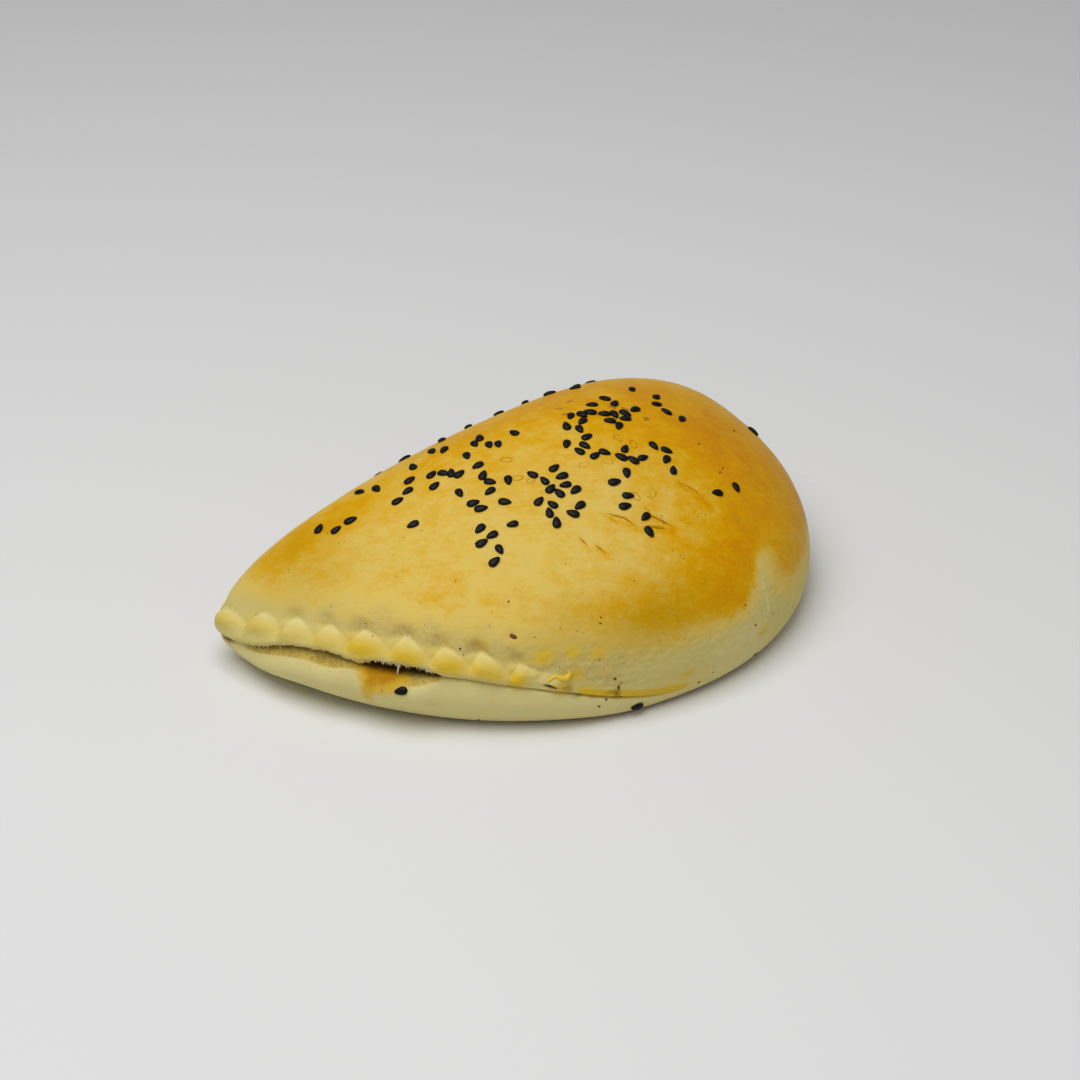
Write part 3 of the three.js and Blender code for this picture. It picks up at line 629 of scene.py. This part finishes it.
above = eased(lip, over_crest, 0.3, size["Dent above"], 1.0, 0.0, easing="SMOOTHERSTEP")
below = product(lip, size["Dent below"], -1.0)
below = eased(lip, over_crest, below, 0.5)
started = eased(lip, place_at, size["Dents from"], size["Dents full"])
dent = product(lip, dent, above, below, started, varied, size["Dent depth"])
push = calc(lip, "SUBTRACT", ledge, dent)
push = scaled(lip, outward_at, product(lip, push, pinched_at, MM))
pressed = node(lip, "GeometryNodeSetPosition", {"Geometry": size["Geometry"], "Offset": push})


def relief(at, kind, detail):
    """Random ups and downs round nought, as big as the lip tree says for its kind."""
    scale = calc(lip, "DIVIDE", 1.0, size[kind + " size"])
    inputs = {"Vector": at, "Scale": scale, "Detail": detail}
    return calc(lip, "SUBTRACT", node(lip, "ShaderNodeTexNoise", inputs), 0.5)


off_foot = node(lip, "ShaderNodeSeparateXYZ", {0: spot_mm}, out="Z")
off_foot = eased(lip, off_foot, 0.5, 5.0)
lumps = product(lip, relief(spot_mm, "Lump", 2.0), off_foot, size["Lump depth"])
crumbs = product(lip, relief(spot_mm, "Crumb", 3.0), ragged_at)
flat_spot = stretched(lip, spot_mm, (1.0, 1.0, 2.0))
creases = product(lip, relief(flat_spot, "Crease", 2.0), hem_at)
rough_by = calc(lip, "MULTIPLY_ADD", crumbs, size["Crumb depth"], lumps)
rough_by = calc(lip, "MULTIPLY_ADD", creases, size["Crease depth"], rough_by)
rough_by = scaled(lip, node(lip, "GeometryNodeInputNormal"), product(lip, rough_by, MM))
pressed = node(lip, "GeometryNodeSetPosition", {"Geometry": pressed, "Offset": rough_by})
end_tree(lip, pressed, size["Finish"])
dough = grown("calzone_dough", dough_mesh, lip, lip_sizes, crust)
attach(dough, "root")
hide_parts("calzone")

# Torn strands: where steam pulled the seam apart, strings of wet dough stretched from the lip towards
# the base and dried. Most are fine teeth under the lip, and a few still reach across.
def dome_level(bow, cut):
    """The level of a bow on the dome over the lip zone."""
    start = dome_start(cut)
    return 1 + (bow - start) / (np.pi / 2 - start)


def level_at(place, z):
    """The level on the skin that lies at a height over the tray."""
    place, z = np.asarray(place, float), np.asarray(z, float)
    cut = section(place)
    climb = np.clip((z - cut["widest"]) / (CROWN[2] - cut["widest"]), 0, 1)
    bow = np.arcsin(climb ** (1 / cut["rise"]))
    lip_level = (z - cut["seam"]) / LIP_ZONE
    low_level = np.clip(z / cut["seam"], 0, 1) ** (1 / BASE_CURVE) - 1
    return np.where(lip_level > 1, dome_level(bow, cut), np.where(lip_level > 0, lip_level, low_level))


def strung(name, strings, finish):
    """A piece of round strings, each given by its points and its half thickness at each, all in mm."""
    spots, halves, edges = [], [], []
    for path, thick in strings:
        edges += [(len(spots) + n, len(spots) + n + 1) for n in range(len(path) - 1)]
        spots += list(path)
        halves += list(thick)
    mesh = plain_mesh(name, spots, [], {"thick": np.array(halves)}, edges)
    return grown(name, mesh, strand_tree, strand_sizes, finish)


# Teeth: how many, from and to which place, from and to which half thickness. Bridges: place, thickness.
TEETH = [(40, 15, 49, 0.04, 0.12), (80, 48, 69, 0.06, 0.18)]
BRIDGES = [(16.5, 0.12), (18.5, 0.14), (19.8, 0.1), (21.4, 0.16), (25, 0.1), (59.2, 0.34)]
LEAST_OPEN, TOOTH_END, BRIDGE_END = 0.9, 0.03, 0.6
chance = np.random.default_rng(31)
hanging = []
for count, first, last, thin, thick in TEETH:
    hanging += [(p, chance.uniform(thin, thick)) for p in chance.uniform(first, last, count)]
tooth_count = len(hanging)
k = np.linspace(0, 1, 5)
strings = []
for number, (p, thick) in enumerate(hanging + BRIDGES):
    half = SEAM_HALF + float(split_gap(p))
    if half < LEAST_OPEN:
        continue
    rim, _, way = skin(np.array([p]), np.array([half / LIP_ZONE]))
    way = np.append(way[0], 0)
    side = np.array([-way[1], way[0], 0])
    start = rim[0] + way * chance.uniform(0.2, 0.9) + (0, 0, 0.3)
    if number < tooth_count:
        end = start + side * chance.normal(0, 0.2) - way * chance.uniform(0, 0.4)
        end = end - (0, 0, 0.4 + half * chance.uniform(0.1, 0.4))
        thin = TOOTH_END
    else:
        landing = np.array([p + chance.uniform(-0.5, 0.5)])
        end = skin(landing, level_at([p], seam_height(p) - half * 0.3))[0][0] - way * 0.2
        thin = thick * BRIDGE_END
    bend = way * chance.uniform(-0.2, 0.2) + side * chance.normal(0, 0.12)
    path = start + (end - start) * k[:, None] + bend * np.sin(np.pi * k)[:, None]
    strings.append((path, thick + (thin - thick) * k ** 1.5))

# Torn dough: the inside of the dough sheet, steamed and not browned, matt and off-white with a little
# grey in its pores.
torn_dough, shade = new_material("torn_bread_dough")
pores = noise(shade, CRUMB_PORE, 3.0)
tint = tinted(shade, pores, "#cfbf88", "#efe6c4")
bump = bumped(shade, pores, 0.4, 0.1 * MM)
surface(shade, tint, 0.6, {"Normal": bump, "IOR": 1.4})

strand_sizes = {"Strand sides": 8.0}
strand_tree, size = new_tree("Torn strands", strand_sizes)
strand = node(strand_tree, "GeometryNodeMeshToCurve", {"Mesh": size["Geometry"]})
thick_at = marked(strand_tree, "thick")
ring = {"Resolution": size["Strand sides"], "Radius": MM}
ring = node(strand_tree, "GeometryNodeCurvePrimitiveCircle", ring)
strand = node(strand_tree, "GeometryNodeCurveToMesh", {
    "Curve": strand, "Profile Curve": ring, "Scale": thick_at, "Fill Caps": True})
end_tree(strand_tree, strand, size["Finish"])
strands = strung("torn_strands", strings, torn_dough)
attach(strands, "root")

# Sesame seeds: whole black seeds, flat and drop-shaped, thrown by hand on the wet egg so that they lie
# thickest in the middle and bake fast to the crust. Two have dropped on the base.
SEED_LONG, SEED_WIDE, SEED_THICK, SEED_TAPER = 3.6, 2.2, 1.2, 0.35
SEED_SPREAD, SEED_GAP, SEED_LIFT, RANDOM_START = 0.08, 2.6, 0.28, 2207
SPRINKLE = [
    (-56, 17, 7, 9, 3), (-43, 24, 3, 2, 2), (-34, 4, 12, 11, 9), (-33, 22, 9, 8, 2), (-29, -18, 7, 7, 6),
    (-21, -5, 7, 7, 7), (-15, 16, 11, 11, 9), (-8, -16, 7, 10, 14), (7, -7, 7, 7, 5), (9, -29, 3, 9, 5),
    (12, 2, 5, 7, 6), (21, -18, 10, 8, 9), (25, 3, 9, 11, 11), (28, 29, 8, 3, 2), (40, -29, 7, 5, 2),
    (45, 7, 5, 16, 5), (73, 3, 2, 2, 1), (-8, 38, 24, 8, 6), (34, 40, 24, 9, 7)]
STRAYS = [(61, -0.13, 0.3), (121, -0.35, 0.1)]
draw_state = [RANDOM_START]


def draw():
    draw_state[0] = draw_state[0] * 48271 % 2147483647
    return draw_state[0] / 2147483647


def spot_in(u, v, long, wide):
    """A random spot in an oval patch."""
    reach, turned = math.sqrt(draw()), 2 * math.pi * draw()
    return u + long * reach * math.cos(turned), v + wide * reach * math.sin(turned)


def bearing(spots):
    return np.arctan2(spots[..., 1] - CROWN[1], spots[..., 0] - CROWN[0])


def place_over(spots):
    """The place along the rim and the level on the skin that lie over spots in plan."""
    around = bearing(rim_point(RIM_SHARE[:-1]))
    tip = around[0]
    around = (around - tip) % (2 * np.pi)
    place = np.interp((bearing(spots) - tip) % (2 * np.pi), around, RIM_PLACE[:-1])
    edge = rim_point(rim_share(place))
    place = np.where(place > RIM_LENGTH / 2, place - RIM_LENGTH, place)
    cut = section(place)
    reach = np.linalg.norm(spots - CROWN[:2], axis=-1) / np.linalg.norm(edge - CROWN[:2], axis=-1)
    bow = np.arccos(np.clip(reach, 0, 1) ** (1 / cut["shoulder"]))
    high = cut["widest"] + (CROWN[2] - cut["widest"]) * np.sin(bow) ** cut["rise"]
    lip_level = (high - cut["seam"]) / LIP_ZONE
    return place, np.where(bow > dome_start(cut), dome_level(bow, cut), lip_level)


def settled(place, level, heading, lift):
    """Spots on the skin, lifted, and turns that lay a thing's x along a heading and its z outward."""
    place, level = np.asarray(place, float), np.asarray(level, float)
    ahead = skin(place + 0.5, level)[0] - skin(place - 0.5, level)[0]
    ahead /= np.linalg.norm(ahead, axis=-1, keepdims=True)
    way = np.cross(ahead, skin(place, level + 0.01)[0] - skin(place, level - 0.01)[0])
    way /= np.linalg.norm(way, axis=-1, keepdims=True)
    turn = np.asarray(heading, float)[:, None]
    ahead = ahead * np.cos(turn) + np.cross(way, ahead) * np.sin(turn)
    axes = np.stack([ahead, np.cross(way, ahead), way], -1)
    return skin(place, level)[0] + way * lift, np.array([Matrix(a.tolist()).to_euler() for a in axes])


def strew(tree, size, thing, **more):
    """Lays a thing on every point by the point's own turn, and ends the tree."""
    turn = node(tree, "FunctionNodeEulerToRotation", {0: marked(tree, "turn", "FLOAT_VECTOR")})
    laid = {"Points": size["Geometry"], "Instance": thing, "Rotation": turn, **more}
    end_tree(tree, node(tree, "GeometryNodeInstanceOnPoints", laid), size["Finish"])


lying = []
for *patch_form, count in SPRINKLE:
    while count > 0:
        spot = spot_in(*patch_form)
        if all(math.hypot(spot[0] - o[0], spot[1] - o[1]) > SEED_GAP for o in lying):
            lying.append(spot)
            count -= 1
seed_place, seed_level = place_over(np.array(lying))
stray_place, stray_level, stray_heading = zip(*STRAYS)
seed_heading = [2 * math.pi * draw() for _ in lying] + [*stray_heading]
seed_place = np.append(seed_place, stray_place)
seed_level = np.append(seed_level, stray_level)
seed_size = np.array([1 + SEED_SPREAD * (2 * draw() - 1) for _ in seed_place])
seed_spot, seed_turn = settled(seed_place, seed_level, seed_heading, SEED_LIFT)
seed_points = plain_mesh("sesame_spots", seed_spot, [], {"turn": seed_turn, "size": seed_size})

# Black sesame hull: a thin dry skin with fine ridges, nearly black with a brown cast and a dull sheen.
hull, shade = new_material("black_sesame_hull")
HULL_RIDGE, HULL_PATCH = 0.35 * MM, 4 * MM
ridges = noise(shade, HULL_RIDGE, 2.0)
cast = noise(shade, HULL_PATCH, 1.0)
tint = tinted(shade, cast, "#050404", "#0f0c0a")
bump = bumped(shade, ridges, 0.5, 0.06 * MM)
surface(shade, tint, 0.46, {"Normal": bump, "IOR": 1.45, "Specular IOR Level": 0.22})

seed_sizes = {
    "Seed length": SEED_LONG, "Seed width": SEED_WIDE, "Seed thickness": SEED_THICK, "Taper": SEED_TAPER}
seed_tree, size = new_tree("Sesame seeds", seed_sizes)
ball = node(seed_tree, "GeometryNodeMeshUVSphere", {"Segments": 10, "Rings": 7, "Radius": 1.0})
spot = node(seed_tree, "GeometryNodeInputPosition")
ball_x = node(seed_tree, "ShaderNodeSeparateXYZ", {0: spot}, out="X")
narrowing = calc(seed_tree, "MULTIPLY_ADD", ball_x, size["Taper"], 1.0)
half_long = product(seed_tree, size["Seed length"], MM / 2)
half_wide = product(seed_tree, size["Seed width"], MM / 2, narrowing)
half_thick = product(seed_tree, size["Seed thickness"], MM / 2)
halves = node(seed_tree, "ShaderNodeCombineXYZ", {0: half_long, 1: half_wide, 2: half_thick})
drop = stretched(seed_tree, spot, halves)
seed_form = node(seed_tree, "GeometryNodeSetPosition", {"Geometry": ball, "Position": drop})
strew(seed_tree, size, seed_form, Scale=marked(seed_tree, "size"))
seeds = grown("sesame_seeds", seed_points, seed_tree, seed_sizes, hull)
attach(seeds, "root")

# Hulled seeds: a few sesame seeds that lost their black hull when they were handled. They were thrown
# with the others and lie flush in the egg, which has baked over them and holds them.
HULLED, HULLED_SIZE, HULLED_SUNK = [(22, 2, 14, 10, 3), (2, 14, 20, 6, 3)], 0.92, 0.36


def laid_at_random(name, areas, lift, size=1.0):
    """Points on the skin at random spots in oval patches, each with its size and a random turn."""
    spots = [spot_in(*patch_form) for *patch_form, count in areas for _ in range(count)]
    place, level = place_over(np.array(spots))
    spots, turns = settled(place, level, [2 * math.pi * draw() for _ in spots], lift)
    return plain_mesh(name, spots, [], {"turn": turns, "size": np.full(len(spots), size)})


bare_points = laid_at_random("hulled_spots", HULLED, -HULLED_SUNK, HULLED_SIZE)

# Bare sesame: the seed's own straw-brown flesh under the glaze, in two close tones.
straw, shade = new_material("bare_sesame")
cast = noise(shade, HULL_PATCH, 2.0)
tint = tinted(shade, cast, "#a06a10", "#c08a1c")
surface(shade, tint, 0.5, {"IOR": 1.45, "Specular IOR Level": 0.15})
bare_seeds = grown("hulled_seeds", bare_points, seed_tree, seed_sizes, straw)
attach(bare_seeds, "root")

# Seed prints: where a seed fell off after baking, the egg that had risen round it stays as a low rim of
# the seed's own outline. It is part of the glaze and as hard as it.
PRINTS = [(14, -3, 16, 12, 5), (-8, -2, 9, 8, 3), (14, -22, 14, 8, 2)]
PRINT_RIM, PRINT_SIDES, PRINT_SUNK = 0.16, 14, 0.08
print_points = laid_at_random("print_spots", PRINTS, -PRINT_SUNK)

# Browned glaze: egg that dried and browned where it stood up, dull deep gold to orange-brown.
browned_glaze, shade = new_material("browned_egg_glaze")
cast = noise(shade, 2 * MM, 2.0)
cast = ramp(shade, cast, 0.35, 0.65)
tint = tinted(shade, cast, "#d09a18", "#b47608")
surface(shade, tint, 0.5, {"IOR": 1.45, "Specular IOR Level": 0.06})

print_sizes = {"Print length": SEED_LONG * 0.86, "Print width": SEED_WIDE * 0.8, "Rim": PRINT_RIM}
print_tree, size = new_tree("Seed prints", print_sizes)
loop = node(print_tree, "GeometryNodeCurvePrimitiveCircle", {"Resolution": PRINT_SIDES, "Radius": MM / 2})
form = {0: size["Print length"], 1: size["Print width"], 2: 1.0}
form = node(print_tree, "ShaderNodeCombineXYZ", form)
loop = node(print_tree, "GeometryNodeTransform", {"Geometry": loop, "Scale": form})
ring = node(print_tree, "GeometryNodeCurvePrimitiveCircle", {"Resolution": 6, "Radius": MM})
rim = {"Curve": loop, "Profile Curve": ring, "Scale": size["Rim"]}
rim = node(print_tree, "GeometryNodeCurveToMesh", rim)
strew(print_tree, size, rim)
prints = grown("seed_prints", print_points, print_tree, print_sizes, browned_glaze)
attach(prints, "root")

# Browned specks: burnt flour and specks of sauce that stuck to the wet egg, some at measured spots
# (place, height, long, wide) and the fine ones strewn over the front.
SPECKS = [
    (87.2, 25.2, 2.3, 1.2), (111.5, 27.6, 0.7, 0.5), (111.2, 26.5, 0.7, 0.5), (83.6, 31.6, 0.6, 0.5),
    (73.8, 22.6, 0.6, 0.5), (114.8, 13.1, 1.0, 0.8), (115.8, 10.4, 0.7, 1.3), (116.8, 7.2, 1.6, 0.8),
    (112.5, 7.6, 0.9, 0.6), (105.6, 10.2, 1.3, 0.6), (110.5, 6.1, 0.9, 0.6), (79, 2.5, 0.9, 0.5),
    (139.8, 4.5, 1.0, 0.5), (144.1, 6.2, 0.6, 0.5), (160.2, 13.5, 0.6, 0.5), (157.9, 20.2, 0.6, 0.5),
    (-228.8, 39.2, 1.8, 0.6), (202.2, 44.5, 1.1, 0.6), (188.4, 40.8, 1.1, 0.5), (192.4, 40.8, 1.3, 0.4),
    (162.1, 3.2, 2.4, 1.0)]
FINE_SPECKS, SPECK_HALF_THICK = 70, 0.22
FINE_RANGES = [(4, 176), (9, 32), (0.168, 0.224), (0.168, 0.168)]
speck_place, speck_high, speck_long, speck_wide = (
    np.array([*measured] + [low + more * draw() for _ in range(FINE_SPECKS)])
    for measured, (low, more) in zip(zip(*SPECKS), FINE_RANGES))
speck_turn = [0.4 * (2 * draw() - 1) for _ in speck_place]
speck_spot, speck_turn = settled(speck_place, level_at(speck_place, speck_high), speck_turn, 0.0)
speck_thick = np.full(len(speck_long), SPECK_HALF_THICK)
speck_size = np.stack([speck_long / 2, speck_wide / 2, speck_thick], -1)

# Burnt flour: matt, reddish brown to nearly black.
burnt, shade = new_material("burnt_flour")
cast = noise(shade, HULL_PATCH, 1.0)
tint = tinted(shade, cast, "#3a2210", "#8a4a12")
surface(shade, tint, 0.7, {"IOR": 1.45})

speck_tree, size = new_tree("Browned specks", {})
ball = node(speck_tree, "GeometryNodeMeshUVSphere", {"Segments": 8, "Rings": 5, "Radius": MM})
strew(speck_tree, size, ball, Scale=marked(speck_tree, "size", "FLOAT_VECTOR"))
speck_points = plain_mesh("speck_spots", speck_spot, [], {"turn": speck_turn, "size": speck_size})
specks = grown("browned_specks", speck_points, speck_tree, {}, burnt)
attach(specks, "root")

# Crust wrinkles: as the dome rose, the drying glaze was pushed into short folds that browned first.
# Each runs over spots in plan and is thickest in its middle.
WRINKLES = [
    ([(0.1, -26.8), (2.2, -28.6), (4.2, -30.1), (5.8, -33.5)], 0.396),
    ([(0.4, -27.8), (0.8, -29.2), (1.3, -30.8)], 0.242),
    ([(10.3, -31.2), (12.2, -32.9), (15.2, -36)], 0.44),
    ([(8.3, -33.7), (10.8, -35.1), (13.3, -36.2)], 0.462),
    ([(11, -29), (11.6, -30.6), (11.4, -31.8)], 0.242),
    ([(24.9, -25.4), (26.1, -26.5), (28.4, -28.7), (29.7, -33.1)], 0.308),
    ([(25.2, -26.6), (25.7, -29.2)], 0.264),
    ([(-9.8, -29.3), (-9.2, -32.5)], 0.22), ([(-7.4, -32.8), (-5.9, -35.9)], 0.264),
    ([(13.5, -27), (14.4, -27.8), (14.8, -29.2)], 0.22)]


def resampled(path, count):
    """Points along a path, and each one's share of the way."""
    path, k = np.array(path), np.linspace(0, 1, count)
    steps = np.linspace(0, 1, len(path))
    return np.stack([np.interp(k, steps, values) for values in path.T], -1), k


strings = []
for path, thick in WRINKLES:
    over, k = resampled(path, 16)
    over[1:-1] = (over[:-2] + over[1:-1] + over[2:]) / 3
    over = over + chance.normal(0, 0.03, over.shape)
    spots = skin(*place_over(over))[0] - (0, 0, thick * 0.3)
    strings.append((spots, thick * (0.25 + 0.75 * np.sin(np.pi * k))))
wrinkles = strung("crust_wrinkles", strings, browned_glaze)
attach(wrinkles, "root")

# Stretch lines: where the side swelled past the set skin near the blunt end, the skin tore finely and
# the pale dough under it shows in thin raised lines. They are the dough itself.
STRETCHES = [
    ([(168.4, 23.2), (167.3, 19.3), (166.5, 14.7), (163.8, 12.6)], 0.16),
    ([(181.8, 14.5), (179, 9.6), (173, 7.3)], 0.14)]
strings = []
for path, thick in STRETCHES:
    over, k = resampled(path, 18)
    line_place = over[:, 0] + chance.normal(0, 0.08, len(k))
    spots, _, way = skin(line_place, level_at(line_place, over[:, 1]))
    spots[:, :2] -= way * thick * 0.35
    strings.append((spots, thick * (0.2 + 0.8 * np.sin(np.pi * k))))
lines = strung("stretch_lines", strings, torn_dough)
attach(lines, "root")

# Egg curl: a lick of beaten egg that ran onto the flake over the closed seam and set there.
# It sticks to the crust by itself. Each point has its place, its height and its half thickness.
CURL = [
    (97, 15.2, 0.25), (99, 16.3, 0.4), (100.6, 15.6, 0.65), (102, 15.3, 0.85), (103, 16.1, 0.6),
    (102.4, 17.2, 0.2)]
CURL_OUT = 0.1
curl_place, curl_high, curl_thick = resampled(CURL, 22)[0].T
curl_spot, _, curl_way = skin(curl_place, level_at(curl_place, curl_high))
curl_spot[:, :2] += curl_way * CURL_OUT

# Set egg: cooked yolk with a smooth moist gloss.
set_egg, shade = new_material("set_egg")
surface(shade, linear("#e8c230"), 0.35, {"IOR": 1.4})
curl = strung("egg_curl", [(curl_spot, curl_thick)], set_egg)
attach(curl, "root")

# The stand: a wide pale matt floor under the calzone, with soft light from a large window-like panel
# above the camera's left, a weak one from the front, and an even pale room.
FLOOR_HALF = 1.5
floor_mesh = bpy.data.meshes.new("pale_floor")
floor_corners = [(u * FLOOR_HALF, v * FLOOR_HALF, 0) for u, v in ((-1, -1), (1, -1), (1, 1), (-1, 1))]
floor_mesh.from_pydata(floor_corners, [], [[0, 1, 2, 3]])
floor = added("pale_floor", floor_mesh)
floor_paint, shade = new_material("matt_white_paint")
surface(shade, linear("#e6e6e6"), 0.7)
floor.data.materials.append(floor_paint)

room = bpy.data.worlds.new("pale_room")
room.use_nodes = True
backdrop = room.node_tree.nodes["Background"].inputs
backdrop["Color"].default_value = (1.0, 1.0, 1.0, 1.0)
backdrop["Strength"].default_value = 0.26
bpy.context.scene.world = room
PANELS = [("window_panel", (-0.28, -0.06, 0.9), 0.8, 6.9), ("fill_panel", (-0.2, -0.9, 0.6), 0.6, 0.3)]
for name, stands, across, power in PANELS:
    panel = added(name, bpy.data.lights.new(name, "AREA"))
    panel.data.size, panel.data.energy = across, power
    panel.location = stands
    panel.rotation_euler = (Vector((0, 0, 0.02)) - Vector(stands)).to_track_quat("-Z", "Y").to_euler()

AIM = Vector((0.00871, 0.01542, 0.01209))
camera = added("camera", bpy.data.cameras.new("camera"))
camera.data.lens, camera.data.sensor_width = 84.85, 36.0
camera.location = (-0.3343, -0.4834, 0.3638)
camera.rotation_euler = (AIM - camera.location).to_track_quat("-Z", "Y").to_euler()
bpy.context.scene.camera = camera
bpy.context.scene.view_settings.view_transform = "Standard"

bpy.context.view_layer.update()
